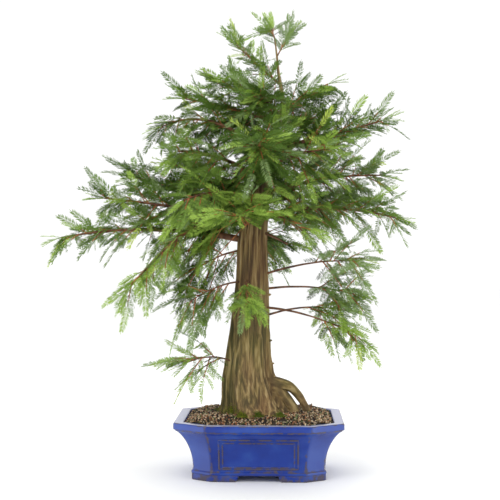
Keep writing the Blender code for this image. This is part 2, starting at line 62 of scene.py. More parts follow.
# Everything is worked out round the pot's middle, and then moved by SHIFT into the part's frame.
POT_LOW, POT_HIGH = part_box("pot")
SHIFT = Vector(((POT_LOW.x + POT_HIGH.x) / 2, (POT_LOW.y + POT_HIGH.y) / 2, 0))
# The CAD box, seen from the pot's middle: no spray's tip leaves it
CROWN_LOW, CROWN_HIGH = ([corner[axis] - SHIFT[axis] for axis in range(3)] for corner in CAD_BOX)

# Camera: level, in front of the pot and a little to its right
CAMERA_DISTANCE = 2.455
CAMERA_HEIGHT = 0.5400
CAMERA_TURN = math.radians(-1.9)
CAMERA_SIDE = -0.0235
FOCAL_PIXELS = 1008.5
IMAGE_SIZE = 500
SENSOR = 36

# Stage: (name, place, watts, width) of each light
LIGHTS = (
    ("key_light", (-1.6, -2.2, 2.6), 30, 1.6),
    ("fill_light", (2.2, -1.8, 1.6), 8, 2.0),
    ("top_light", (0.2, 0.6, 3.0), 26, 2.4),
)
LIGHT_AIM_HEIGHT = 0.5
WORLD_STRENGTH = 1.06
FLOOR_REACH = 12
FLOOR_WHITE = 0.96

# Pot, as in the part's source
POT_LENGTH = 0.400
POT_DEPTH = 0.313
POT_HEIGHT = 0.137
CORNER_LENGTH = 0.077
CORNER_DEPTH = 0.046
RIM_HEIGHT = 0.016
RIM_STEP = 0.005
LIP_WIDTH = 0.024
WALL_BOTTOM = 0.025
WALL_TOP = 0.118
WALL_INSET = 0.045
WALL_CURVE = 0.78
LEDGE_OUT = 0.004
FLOOR_INSET = WALL_INSET + 0.02
EDGE_ROUNDING = 0.0025
FOOT_HEIGHT = 0.014
FOOT_INSET = 0.044
FOOT_OUT = 0.0015
FOOT_WIDTH = 0.026
FOOT_GAP_LONG = 0.093
FOOT_GAP_SHORT = 0.070
FOOT_SLOPE = 0.008
FOOT_TUCK = 0.985
# Each level of a foot: its height, and the share of the slope by which its ends are moved back
FOOT_LEVELS = ((0, 1), (0.002, 0.9), (FOOT_HEIGHT * 0.6, 0.3), (FOOT_HEIGHT + 0.001, 0))
PANEL_BOTTOM = 0.030
PANEL_TOP = 0.102
PANEL_HALF_LONG = 0.092
PANEL_HALF_SHORT = 0.062
# The raised lines round a field: how far in from its edge, and radius
PANEL_LINES = ((0, 0.0023), (0.0085, 0.0019))

# Soil
SOIL_EDGE = 0.132
SOIL_TOP = 0.1497
MOUND_CENTRE = (0.012, 0.006)
MOUND_LENGTH = 0.262
MOUND_DEPTH = 0.196
MOUND_FLAT = 0.9
SLOPE_START = 0.62
SLOPE_CURVE = 1.2
BED_STEPS = 60
BED_SINK = 0.0016
GRAIN_COUNT = 5600
GRAIN_SIZE = 0.0043
GRAIN_KINDS = 12
GRITS = (
    ("grit_tan", (0.500, 0.310, 0.160)),
    ("grit_sand", (0.740, 0.580, 0.390)),
    ("grit_brown", (0.160, 0.078, 0.034)),
    ("grit_dark", (0.022, 0.015, 0.011)),
    ("grit_red", (0.430, 0.170, 0.075)),
    ("grit_green", (0.170, 0.210, 0.075)),
)
# Places in GRITS, each as often as its share of the grains asks
GRIT_SHARES = (0, 0, 1, 1, 2, 3, 3, 3, 4, 5)
MOSS_BLADES = 1500
MOSS_CREEP = 0.013
BLADE_HALF_WIDTH = 0.0007
BLADE_LENGTHS = (0.0020, 0.0042)
# Moss round the trunk's foot: direction and width in degrees, how far it climbs, shade
MOSS = (
    (222, 16, 0.020, 0),
    (248, 9, 0.010, 0),
    (272, 7, 0.009, 1),
    (305, 12, 0.009, 1),
    (180, 14, 0.014, 0),
    (75, 16, 0.012, 1),
    (120, 14, 0.014, 0),
)

# Trunk, as in the part's source: (height, sideways place, radius)
GROUND = 0.150
TRUNK_LINE = (
    (GROUND, -0.003, 0.088),
    (0.165, -0.010, 0.078),
    (0.197, -0.019, 0.069),
    (0.251, -0.027, 0.057),
    (0.340, -0.024, 0.047),
    (0.460, -0.018, 0.040),
    (0.553, -0.018, 0.036),
    (0.607, -0.012, 0.032),
    (0.681, 0.000, 0.025),
    (0.733, 0.013, 0.0185),
    (0.798, 0.031, 0.011),
    (0.842, 0.041, 0.0075),
    (0.888, 0.056, 0.0060),
    (0.928, 0.053, 0.0050),
    (0.968, 0.046, 0.0038),
    (1.010, 0.042, 0.0025),
    (1.060, 0.036, 0.0015),
)
TRUNK_COLUMNS = 180
TRUNK_RINGS = 340
# Flying root, and the inner strand under its arch: (sideways place, height), from the trunk outwards
ROOT_LINE = (
    (0.010, 0.222), (0.048, 0.216), (0.073, 0.209),
    (0.090, 0.194), (0.104, 0.174), (0.121, 0.140),
)
ROOT_RADII = (0.018, 0.014, 0.012, 0.0095, 0.0085, 0.0095)
STRAND_LINE = ((0.015, 0.212), (0.042, 0.198), (0.065, 0.179), (0.086, 0.146))
STRAND_RADII = (0.018, 0.016, 0.014, 0.015)
ROOT_DEPTH = -0.012
ROOT_STEPS = 12
ROOT_SIDES = 28
ROOT_RELIEF = 0.16
# Bark relief, as shares of the trunk's radius, and the heights over which flutes and flank fade
BARK_STANDS_OUT = 0.055
FLUTE_DEPTH = 0.10
FLUTE_FADE = 0.22
FOLD_DEPTH = 0.10
FIBRE_BUNDLE_DEPTH = 0.17
FIBRE_DEPTH = 0.10
FLANK_DEPTH = 0.12
FLANK_FADE = 0.10
FULL_RELIEF_RADIUS = 0.02
# Scar of a lost limb: direction and half width in radians, height and half height
SCAR_TURN = 5.30
SCAR_HALF_WIDTH = 0.17
SCAR_HEIGHT = 0.346
SCAR_HALF_HEIGHT = 0.012
SCAR_DEPTH = 0.12
# Short ends of lost limbs: (height, length)
STUBS = ((0.3185, 0.007), (0.2625, 0.008), (0.430, 0.006))
STUB_RADII = (0.005, 0.0042, 0.0036, 0.0032, 0.0026, 0.0008)
STUB_DEPTH = -0.012

# Limbs, as in the part's source: name, height, azimuth, reach, rise, arch, bare share, spread, droop
LIMBS = (
    ("left_long", 0.560, 180, 0.52, 0.000, 0.030, 0.34, 0.085, 0.25),
    ("left_droop", 0.620, -156, 0.37, -0.240, 0.075, 0.40, 0.100, 0.55),
    ("left_mid", 0.600, 179, 0.42, 0.070, 0.012, 0.38, 0.100, 0.15),
    ("left_back", 0.620, 154, 0.41, 0.120, 0.010, 0.40, 0.115, 0.10),
    ("left_arch", 0.760, -177, 0.31, 0.050, 0.070, 0.42, 0.090, 0.45),
    ("left_front", 0.710, -148, 0.28, 0.050, 0.030, 0.00, 0.110, 0.25),
    ("left_top", 0.850, 171, 0.28, 0.070, 0.010, 0.00, 0.095, 0.10),
    ("left_high", 0.860, -175, 0.20, 0.110, 0.010, 0.00, 0.090, 0.00),
    ("left_fore", 0.660, -138, 0.28, -0.030, 0.030, 0.00, 0.105, 0.35),
    ("left_inner", 0.680, 164, 0.28, 0.080, 0.010, 0.00, 0.105, 0.10),
    ("left_under", 0.540, -173, 0.20, -0.110, 0.030, 0.00, 0.100, 0.45),
    ("left_low", 0.460, -146, 0.22, -0.080, 0.030, 0.30, 0.080, 0.45),
    ("left_twig", 0.240, -154, 0.21, 0.000, 0.045, 0.34, 0.070, 0.35),
    ("right_long", 0.620, -8, 0.39, -0.020, 0.030, 0.42, 0.095, 0.30),
    ("right_shoulder", 0.670, 4, 0.35, 0.050, 0.020, 0.40, 0.105, 0.15),
    ("right_arm", 0.780, -4, 0.32, 0.085, 0.000, 0.40, 0.090, -0.10),
    ("right_mid", 0.730, -38, 0.24, 0.040, 0.020, 0.00, 0.110, 0.20),
    ("right_high", 0.870, 2, 0.16, 0.090, 0.010, 0.00, 0.085, -0.05),
    ("right_fore", 0.620, -56, 0.24, -0.070, 0.030, 0.38, 0.100, 0.50),
    ("right_under", 0.590, -14, 0.13, -0.070, 0.010, 0.00, 0.080, 0.55),
    ("right_low_a", 0.470, -25, 0.32, 0.040, 0.020, 0.50, 0.085, 0.25),
    ("right_low_b", 0.440, -6, 0.30, -0.020, 0.020, 0.50, 0.080, 0.30),
    ("right_low_c", 0.365, 8, 0.28, 0.010, 0.030, 0.48, 0.075, 0.25),
    ("right_twig", 0.400, -17, 0.32, -0.100, 0.030, 0.56, 0.055, 0.30),
    ("front_low", 0.470, -95, 0.19, -0.110, 0.030, 0.30, 0.045, 0.60),
    ("front_mid", 0.600, -97, 0.29, 0.000, 0.020, 0.40, 0.120, 0.35),
    ("front_high", 0.750, -97, 0.26, 0.010, 0.020, 0.00, 0.105, 0.20),
    ("front_top", 0.870, -115, 0.18, 0.030, 0.010, 0.00, 0.090, 0.10),
    ("back_low", 0.560, 82, 0.32, -0.010, 0.020, 0.42, 0.110, 0.35),
    ("back_left", 0.620, 122, 0.33, 0.010, 0.020, 0.42, 0.110, 0.30),
    ("back_right", 0.650, 42, 0.35, 0.010, 0.020, 0.42, 0.115, 0.25),
    ("back_mid", 0.750, 87, 0.28, 0.050, 0.010, 0.00, 0.110, 0.20),
    ("back_high_left", 0.820, 130, 0.22, 0.080, 0.000, 0.00, 0.095, 0.05),
    ("back_high_right", 0.840, 50, 0.20, 0.060, 0.000, 0.00, 0.095, 0.05),
    ("top_shoot", 0.940, 172, 0.15, 0.140, 0.000, 0.00, 0.065, -0.25),
    ("top_right", 1.010, 0, 0.05, 0.095, 0.000, 0.00, 0.045, -0.30),
    ("apex", 1.050, 178, 0.02, 0.080, 0.000, 0.00, 0.045, -0.30),
)
LIGHT_LIMBS = (
    "left_droop", "left_twig", "front_low", "front_mid",
    "right_mid", "right_fore", "right_under", "right_twig", "right_low_c",
)
# The trunk shows bare between these heights, and this far to each side of the pot's middle
FRONT_HALF = 0.11
FRONT_LOW = 0.455
FRONT_HIGH = 0.590
# Above CROWN_FOOT a limb is bare for at most CROWN_BARE of its reach, and below it a limb is thinner
CROWN_FOOT = 0.55
CROWN_BARE = 0.13
LOW_LIMB_WIDTH = 0.55
# Above LEADER_FOOT the sprays stand twice as far apart along a twig
LEADER_FOOT = 0.93
BOUGH_RADIUS = 0.0026
BOUGH_TAPER = 0.011
BOUGH_RELIEF = 0.22
BOUGH_STEP = 0.012
STEM_TIP = 0.0007
WAVE = 0.010

# Foliage
TWIG_SPACING = 0.0095
FRONT_SPACING = 0.0060
TWIG_ANGLE = 52
TWIG_SWAY = 16
TWIG_TILT = 82
# A twig's reach at the limb's foot, and what the limb's length takes off it, times the limb's spread
TWIG_REACH = 1.42
CROWN_NARROWING = 0.80
LOW_NARROWING = 0.25
TWIG_LEAST = 0.012
TWIG_RADIUS = 0.0018
TWIG_TAPER = 0.5
# Chance that a side spray is left out: 1.3 times this at a limb's foot, 0.3 times at its tip
INNER_GAPS = 0.28
SPRAY_SPACING = 0.0125
SPRAY_LENGTH = 0.058
SPRAY_PAIRS = 15
NEEDLE_LENGTH = 0.0132
NEEDLE_WIDTH = 0.0027
SPRAY_KINDS = 16
MOST_TRIANGLES = 190000
GREENS = (
    ("green_mid", (0.155, 0.258, 0.042)),
    ("green_deep", (0.086, 0.160, 0.022)),
    ("green_painted_shade", (0.040, 0.078, 0.011)),
    ("green_grey", (0.205, 0.300, 0.105)),
    ("green_light", (0.285, 0.430, 0.070)),
    ("green_yellow", (0.420, 0.540, 0.095)),
)
MID, DEEP, SHADE_GREEN, GREY, LIGHT, YELLOW = range(len(GREENS))
# Share of a limb's sprays in its own green, how far out the others turn light, and up to where they turn
# dark as painted shade inside the crown
OWN_GREEN = 0.55
LIGHT_FROM = 0.72
SHADE_INSIDE_UP_TO = 0.30


# Materials


def new_material(name, colour, roughness):
    """A material with its tree and shader, for more nodes."""
    material = bpy.data.materials.new(name)
    material.use_nodes = True
    shader = material.node_tree.nodes["Principled BSDF"]
    shader.inputs["Base Color"].default_value = (*colour, 1)
    shader.inputs["Roughness"].default_value = roughness
    return material, material.node_tree, shader


def plain_material(name, colour, roughness):
    return new_material(name, colour, roughness)[0]


def add_node(tree, kind, **values):
    node = tree.nodes.new(kind)
    for name, value in values.items():
        node.inputs[name].default_value = value
    return node


def noise_node(tree, scale, detail, stretch=(1, 1, 1)):
    """Noise over the object's own coordinates, stretched along an axis where asked."""
    place = tree.nodes.new("ShaderNodeTexCoord")
    mapping = tree.nodes.new("ShaderNodeMapping")
    mapping.inputs["Scale"].default_value = stretch
    node = add_node(tree, "ShaderNodeTexNoise", Scale=scale, Detail=detail)
    tree.links.new(place.outputs["Object"], mapping.inputs["Vector"])
    tree.links.new(mapping.outputs["Vector"], node.inputs["Vector"])
    return node


def ramp_node(tree, source, stops):
    ramp = tree.nodes.new("ShaderNodeValToRGB")
    while len(ramp.color_ramp.elements) < len(stops):
        ramp.color_ramp.elements.new(0.5)
    for element, (place, colour) in zip(ramp.color_ramp.elements, stops):
        element.position = place
        element.color = (*colour, 1)
    tree.links.new(source, ramp.inputs["Fac"])
    return ramp


def bump_node(tree, source, strength, distance, shader):
    bump = add_node(tree, "ShaderNodeBump", Strength=strength, Distance=distance)
    tree.links.new(source, bump.inputs["Height"])
    tree.links.new(bump.outputs["Normal"], shader.inputs["Normal"])


def mix_colours(tree, share, first, second):
    """A mix of two colours, where the share and each colour are a socket or a fixed value."""
    mix = tree.nodes.new("ShaderNodeMix")
    mix.data_type = "RGBA"
    for name, value in (("Factor", share), ("A", first), ("B", second)):
        if isinstance(value, bpy.types.NodeSocket):
            tree.links.new(value, mix.inputs[name])
        else:
            mix.inputs[name].default_value = value
    return mix.outputs["Result"]


def math_node(tree, operation, *sources):
    """The result of a math operation on one or two sockets."""
    node = tree.nodes.new("ShaderNodeMath")
    node.operation = operation
    for index, source in enumerate(sources):
        tree.links.new(source, node.inputs[index])
    return node.outputs[0]


def bark_material(name, stretch):
    """Ochre and brown fibres, drawn out along an axis by the stretch."""
    material, tree, shader = new_material(name, (0.2, 0.13, 0.06), 0.88)
    streaks = noise_node(tree, 125, 9, stretch)
    base = ramp_node(tree, streaks.outputs["Fac"], (
        (0.37, (0.022, 0.013, 0.007)),
        (0.46, (0.110, 0.070, 0.028)),
        (0.54, (0.275, 0.182, 0.064)),
        (0.66, (0.540, 0.405, 0.190)),
    ))
    patches = noise_node(tree, 9, 4, (1, 1, 0.5))
    tint = ramp_node(tree, patches.outputs["Fac"], (
        (0.38, (0.130, 0.125, 0.028)),
        (0.50, (0.190, 0.130, 0.055)),
        (0.64, (0.200, 0.085, 0.038)),
    ))
    tint_share = 0.42
    colour = mix_colours(tree, tint_share, base.outputs["Color"], tint.outputs["Color"])
    tree.links.new(colour, shader.inputs["Base Color"])
    fine = noise_node(tree, 160, 6, (stretch[0], stretch[1], stretch[2] * 3))
    bump_node(tree, fine.outputs["Fac"], 1.0, 0.006, shader)
    return material


def wood_material(name, dark, light):
    """Spots of two shades, for wood and for grains of grit."""
    material, tree, shader = new_material(name, light, 0.7)
    spots = noise_node(tree, 70, 5)
    colour = ramp_node(tree, spots.outputs["Fac"], ((0.35, dark), (0.65, light)))
    tree.links.new(colour.outputs["Color"], shader.inputs["Base Color"])
    bump_node(tree, spots.outputs["Fac"], 0.5, 0.0008, shader)
    return material


def needle_material(name, colour):
    material, _, shader = new_material(name, colour, 0.6)
    shader.inputs["Specular IOR Level"].default_value = 0.18
    return material


def glaze_material():
    """Cobalt glaze that thins to brown on worn edges and is browned on the feet as painted shade, with a
    painted sheen on slanted walls and a painted glare on the lip.
    """
    material, tree, shader = new_material("glaze", (0.02, 0.06, 0.42), 0.16)
    shader.inputs["Specular IOR Level"].default_value = 0.34
    clouds = noise_node(tree, 14, 5)
    blue = ramp_node(tree, clouds.outputs["Fac"], (
        (0.30, (0.004, 0.018, 0.170)),
        (0.52, (0.006, 0.034, 0.260)),
        (0.74, (0.022, 0.075, 0.340)),
    ))
    # A point attribute, high on worn edges and on the feet, where it stands for painted shade; brown
    # patches show where it is high
    wear_and_shade = tree.nodes.new("ShaderNodeAttribute")
    wear_and_shade.attribute_name = "wear_and_shade"
    brown_patches = noise_node(tree, 70, 3)
    worn_and_shaded = math_node(tree, "MULTIPLY", wear_and_shade.outputs["Fac"], brown_patches.outputs["Fac"])
    edge = ramp_node(tree, worn_and_shaded, ((0.37, (0, 0, 0)), (0.52, (0.85, 0.85, 0.85))))
    facing = tree.nodes.new("ShaderNodeNewGeometry")
    parts = tree.nodes.new("ShaderNodeSeparateXYZ")
    tree.links.new(facing.outputs["Normal"], parts.inputs[0])
    # Painted sheen: walls that face out at a slant, the corner walls above all, are paled towards a hazy
    # lavender blue
    slant = math_node(tree, "ABSOLUTE", math_node(tree, "MULTIPLY", parts.outputs["X"], parts.outputs["Y"]))
    corner = ramp_node(tree, slant, ((0.22, (0, 0, 0)), (0.40, (0.50, 0.50, 0.50))))
    # Painted glare: faces that look straight up, the lip above all, are paled towards a whitish lavender
    glare_share = ramp_node(tree, parts.outputs["Z"], ((0.90, (0, 0, 0)), (0.98, (0.65, 0.65, 0.65))))
    corner_sheen = (0.105, 0.150, 0.420, 1)
    glare = (0.520, 0.530, 0.700, 1)
    brown = (0.080, 0.062, 0.060, 1)
    with_corner_sheen = mix_colours(tree, corner.outputs["Color"], blue.outputs["Color"], corner_sheen)
    with_glare = mix_colours(tree, glare_share.outputs["Color"], with_corner_sheen, glare)
    colour = mix_colours(tree, edge.outputs["Color"], with_glare, brown)
    tree.links.new(colour, shader.inputs["Base Color"])
    ripple = noise_node(tree, 35, 3)
    bump_node(tree, ripple.outputs["Fac"], 0.12, 0.002, shader)
    return material


# Mesh building


def mesh_object(name, points, faces, materials, indices=None, smooth=True):
    """One mesh from arrays of points and of faces that all have the same count of corners."""
    points = np.asarray(points, np.float32).reshape(-1, 3) + np.array(SHIFT, np.float32)
    faces = np.asarray(faces, np.int32)
    sides = faces.shape[1]
    mesh = bpy.data.meshes.new(name)
    mesh.vertices.add(len(points))
    mesh.vertices.foreach_set("co", points.ravel())
    mesh.loops.add(faces.size)
    mesh.loops.foreach_set("vertex_index", faces.ravel())
    mesh.polygons.add(len(faces))
    mesh.polygons.foreach_set("loop_start", np.arange(0, faces.size, sides, dtype=np.int32))
    mesh.polygons.foreach_set("loop_total", np.full(len(faces), sides, np.int32))
    if indices is not None:
        mesh.polygons.foreach_set("material_index", np.asarray(indices, np.int32))
    mesh.update(calc_edges=True)
    mesh.validate()
    if smooth:
        mesh.shade_smooth()
    for material in materials:
        mesh.materials.append(material)
    obj = bpy.data.objects.new(name, mesh)
    bpy.context.scene.collection.objects.link(obj)
    return obj


def between(line, height):
    """Smooth place and radius on the trunk's line at a height."""
    height = min(max(height, line[0][0]), line[-1][0])
    for index in range(len(line) - 1):
        if height <= line[index + 1][0]:
            break
    a = line[max(index - 1, 0)]
    b = line[index]
    c = line[index + 1]
    d = line[min(index + 2, len(line) - 1)]
    share = (height - b[0]) / (c[0] - b[0])
    values = []
    for axis in (1, 2):
        slope_b = (c[axis] - a[axis]) / (c[0] - a[0]) * (c[0] - b[0])
        slope_c = (d[axis] - b[axis]) / (d[0] - b[0]) * (c[0] - b[0])
        values.append(
            b[axis] * (2 * share**3 - 3 * share**2 + 1)
            + slope_b * (share**3 - 2 * share**2 + share)
            + c[axis] * (3 * share**2 - 2 * share**3)
            + slope_c * (share**3 - share**2)
        )
    return values


def ring_faces(rings, sides):
    """Quads that join each ring of points to the next."""
    faces = []
    for ring in range(rings - 1):
        for step in range(sides):
            a = ring * sides + step
            b = ring * sides + (step + 1) % sides
            faces.append((a, b, b + sides, a + sides))
    return faces


def tube_arrays(points, radii, sides, relief=None):
    """Points and quads of a tube with open ends round a path, with relief on it where given."""
    rings = []
    side = None
    for index, centre in enumerate(points):
        before = points[max(index - 1, 0)]
        after = points[min(index + 1, len(points) - 1)]
        along = (after - before).normalized()
        if side is None:
            side = along.orthogonal().normalized()
        side = (side - along * side.dot(along)).normalized()
        other = along.cross(side)
        for step in range(sides):
            turn = 2 * math.pi * step / sides
            radius = radii[index] * (relief(index, turn) if relief else 1)
            rings.append(centre + (side * math.cos(turn) + other * math.sin(turn)) * radius)
    return rings, ring_faces(len(points), sides)


class Joined:
    """Quads gathered from many small shapes into one mesh."""

    def __init__(self):
        self.points = []
        self.faces = []

    def add(self, shape):
        points, faces = shape
        first = len(self.points)
        self.points += points
        self.faces += [tuple(first + corner for corner in face) for face in faces]

    def build(self, name, materials):
        points = [tuple(point) for point in self.points]
        return mesh_object(name, points, self.faces, materials)


# Trunk


def bark_relief(turn, height, radius):
    """The trunk's radius at a place on its bark, as a share of the smooth one."""
    ring = Vector((math.cos(turn), math.sin(turn), 0))
    above = height - GROUND
    waves = math.cos(7 * turn + 0.8) + 0.5 * math.sin(3 * turn)
    flutes = FLUTE_DEPTH * math.exp(-above / FLUTE_FADE) * waves
    folds = FOLD_DEPTH * noise.noise(ring * 2.6 + Vector((0, 0, height * 3.2)))
    bundles = -FIBRE_BUNDLE_DEPTH * abs(noise.noise(ring * 7.5 + Vector((0, 0, height * 4.0))))
    fibres = -FIBRE_DEPTH * abs(noise.noise(ring * 22.0 + Vector((0, 0, height * 9.0))))
    flank = FLANK_DEPTH * math.exp(-above / FLANK_FADE) * max(-math.cos(turn), 0) ** 2
    aside = (turn - SCAR_TURN) / SCAR_HALF_WIDTH
    higher = (height - SCAR_HEIGHT) / SCAR_HALF_HEIGHT
    scar = -SCAR_DEPTH * math.exp(-aside**2 - higher**2)
    fade = min(radius / FULL_RELIEF_RADIUS, 1)
    return 1 + (BARK_STANDS_OUT + flank + scar + flutes + folds + bundles + fibres) * fade


def make_trunk(bark):
    foot = GROUND - 0.004
    top = TRUNK_LINE[-1][0]
    points = []
    for ring in range(TRUNK_RINGS + 1):
        height = foot + (top - foot) * ring / TRUNK_RINGS
        place, radius = between(TRUNK_LINE, height)
        for column in range(TRUNK_COLUMNS):
            turn = 2 * math.pi * column / TRUNK_COLUMNS
            reach = radius * bark_relief(turn, height, radius)
            points.append((place + reach * math.cos(turn), reach * math.sin(turn), height))
    faces = ring_faces(TRUNK_RINGS + 1, TRUNK_COLUMNS)
    trunk = mesh_object("trunk_bark", points, faces, [bark])
    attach(trunk, "root")
    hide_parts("trunk")


def make_stubs(bark):
    """Short ends of lost limbs on the trunk's right side."""
    stubs = Joined()
    for height, length in STUBS:
        place, radius = between(TRUNK_LINE, height)
        base = Vector((place + radius * 0.85, STUB_DEPTH, height))
        tip = base + Vector((radius * 0.15 + length, -0.002, length * 0.5))
        steps = len(STUB_RADII) - 1
        points = [base.lerp(tip, step / steps) for step in range(steps + 1)]
        stubs.add(tube_arrays(points, STUB_RADII, 9))
    obj = stubs.build("trunk_stubs", [bark])
    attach(obj, "root")


def smooth_path(points, radii, steps):
    """Points and radii read from a smooth curve through a few given ones."""
    made_points = []
    made_radii = []
    for index in range(len(points) - 1):
        a = points[max(index - 1, 0)]
        b = points[index]
        c = points[index + 1]
        d = points[min(index + 2, len(points) - 1)]
        for step in range(steps):
            t = step / steps
            made_points.append(
                0.5 * ((2 * b) + (c - a) * t + (2 * a - 5 * b + 4 * c - d) * t**2
                       + (3 * b - a - 3 * c + d) * t**3)
            )
            made_radii.append(radii[index] + (radii[index + 1] - radii[index]) * t)
    made_points.append(points[-1])
    made_radii.append(radii[-1])
    return made_points, made_radii


def make_flying_root(bark):
    """The root that arches out of the trunk's right side, with the strand that fills its arch."""

    def relief(index, turn):
        ring = Vector((math.cos(turn), math.sin(turn), 0))
        return 1 + ROOT_RELIEF * noise.noise(ring * 2 + Vector((0, 0, index * 0.06)))

    strands = Joined()
    for line, widths in ((ROOT_LINE, ROOT_RADII), (STRAND_LINE, STRAND_RADII)):
        path = [Vector((x, ROOT_DEPTH, z)) for x, z in line]
        points, radii = smooth_path(path, widths, ROOT_STEPS)
        strands.add(tube_arrays(points, radii, ROOT_SIDES, relief))
    root = strands.build("flying_root", [bark])
    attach(root, "root")


# Limbs and foliage


def over_trunk(point):
    """True for a place in front of the stretch of trunk that the photo shows bare."""
    return point.y < 0 and abs(point.x) < FRONT_HALF and FRONT_LOW < point.z < FRONT_HIGH


class Limb:
    """A bough with its foliage, from the trunk's middle to its furthest tip."""

    def __init__(self, index, sizes):
        self.index = index
        self.name, self.height, azimuth, self.reach, self.rise = sizes[:5]
        self.arch, bare, self.spread, self.droop = sizes[5:]
        turn = math.radians(azimuth)
        self.out = Vector((math.cos(turn), math.sin(turn), 0))
        self.side = UP.cross(self.out)
        place, trunk_radius = between(TRUNK_LINE, self.height)
        self.start = Vector((place, 0, self.height))
        self.root_radius = min(BOUGH_RADIUS + BOUGH_TAPER * self.reach, trunk_radius * 0.7)
        if self.height < CROWN_FOOT:
            self.root_radius *= LOW_LIMB_WIDTH
        if self.height > CROWN_FOOT:
            bare = min(bare, CROWN_BARE)
        self.phase = random.Random(SEED + index).uniform(0, 2 * math.pi)
        length = (self.point(1) - self.start).length
        self.end = 1 - 0.9 * SPRAY_LENGTH / length
        out_of_trunk = 1.05 * trunk_radius / self.reach
        self.first = min(bare or out_of_trunk, self.end - 0.2)

    def point(self, share):
        wander = WAVE * math.sin(math.pi * share) * math.sin(5 * share + self.phase)
        lift = self.rise * share + self.arch * 4 * share * (1 - share)
        return self.start + self.out * self.reach * share + self.side * wander + UP * lift

    def along(self, share):
        step = 0.01
        return (self.point(share + step) - self.point(share - step)).normalized()

    def radius(self, share):
        return self.root_radius + (STEM_TIP - self.root_radius) * share


def spray_template(rng):
    """Needles in two rows along a thin midrib, as points and quads for a spray of length 1."""
    points = []
    faces = []

    def quad(corners):
        first = len(points)
        points.extend(corners)
        faces.append((first, first + 1, first + 2, first + 3))

    needle = NEEDLE_LENGTH / SPRAY_LENGTH
    half = NEEDLE_WIDTH / SPRAY_LENGTH / 2
    widest = 0.38
    arch = rng.uniform(0.03, 0.16)
    sway = rng.uniform(-0.10, 0.10)

    def axis(place):
        return np.array((place, sway * place**2, -arch * place**2))

    for pair in range(SPRAY_PAIRS):
        place = 0.05 + 0.93 * (pair + rng.uniform(-0.2, 0.2)) / SPRAY_PAIRS
        size = needle * (0.55 + 0.5 * math.sin(math.pi * min(place * 0.86 + 0.12, 1)))
        for sign in (1, -1):
            angle = math.radians(rng.uniform(50, 66) * (1 - 0.35 * place))
            lift = rng.uniform(-0.05, 0.28)
            heading = np.array((math.cos(angle), sign * math.sin(angle), lift))
            heading /= np.linalg.norm(heading)
            across = np.array((-heading[1], heading[0], rng.uniform(-0.5, 0.5)))
            across /= np.linalg.norm(across)
            root = axis(place)
            reach = size * rng.uniform(0.88, 1.1)
            quad((
                root,
                root + heading * reach * widest + across * half,
                root + heading * reach,
                root + heading * reach * widest - across * half,
            ))
    tip = axis(0.97)
    quad([tip + np.array((x, y, 0)) for x, y in ((0, 0), (0.06, 0.012), (0.16, 0), (0.06, -0.012))])
    rib = 0.009
    steps = 4
    for step in range(steps):
        a = axis(step / steps)
        b = axis((step + 1) / steps)
        for offset in (np.array((0, rib, 0)), np.array((0, 0, rib))):
            quad((a - offset, a + offset, b + offset * 0.8, b - offset * 0.8))
    return np.array(points), np.array(faces)


class Foliage:
    """All the sprays, placed first and turned into a few big meshes at the end."""

    def __init__(self):
        rng = random.Random(SEED * 7)
        self.kinds = [spray_template(rng) for _ in range(SPRAY_KINDS)]
        self.placed = []

    def add(self, origin, along, normal, size, green):
        """Places a spray, unless its tip would leave the crown's box or hide the bare trunk."""
        along = along.normalized()
        tip = origin + along * size * SPRAY_LENGTH
        if any(tip[axis] < CROWN_LOW[axis] or tip[axis] > CROWN_HIGH[axis] for axis in range(3)):
            return
        if over_trunk(tip):
            return
        across = normal.cross(along)
        if across.length < 1e-4:
            across = along.orthogonal()
        across.normalize()
        self.placed.append((origin, along, across, along.cross(across), size, green))

    def build(self, materials):
        rng = random.Random(SEED * 13)
        per_spray = len(self.kinds[0][1]) * 2
        per_mesh = MOST_TRIANGLES // per_spray
        made = []
        for first in range(0, len(self.placed), per_mesh):
            batch = self.placed[first:first + per_mesh]
            points = []
            faces = []
            indices = []
            count = 0
            for origin, along, across, up, size, green in batch:
                shape, quads = self.kinds[rng.randrange(SPRAY_KINDS)]
                axes = np.array((along, across, up))
                scale = np.array((size, size * 0.98, size))
                points.append((shape * scale) @ axes * SPRAY_LENGTH + np.array(origin))
                faces.append(quads + count)
                indices.append(np.full(len(quads), green))
                count += len(shape)
            name = "needles_%d" % (len(made) + 1)
            obj = mesh_object(
                name, np.concatenate(points), np.concatenate(faces), materials,
                np.concatenate(indices), smooth=False,
            )
            made.append(obj)
        return made


def pick_green(rng, limb_green, outer):
    """A colour for a spray: its limb's own, lighter towards the tips, and darker inside the crown as
    painted shade.
    """
    if rng.random() < OWN_GREEN:
        return limb_green
    if outer > LIGHT_FROM:
        return rng.choice((MID, GREY, GREY, LIGHT, LIGHT, YELLOW))
    # Painted shade: sprays deep inside the crown take the deep and near-black greens
    if outer < SHADE_INSIDE_UP_TO:
        return rng.choice((MID, DEEP, DEEP, SHADE_GREEN, SHADE_GREEN))
    return rng.choice((MID, MID, DEEP, GREY, LIGHT))


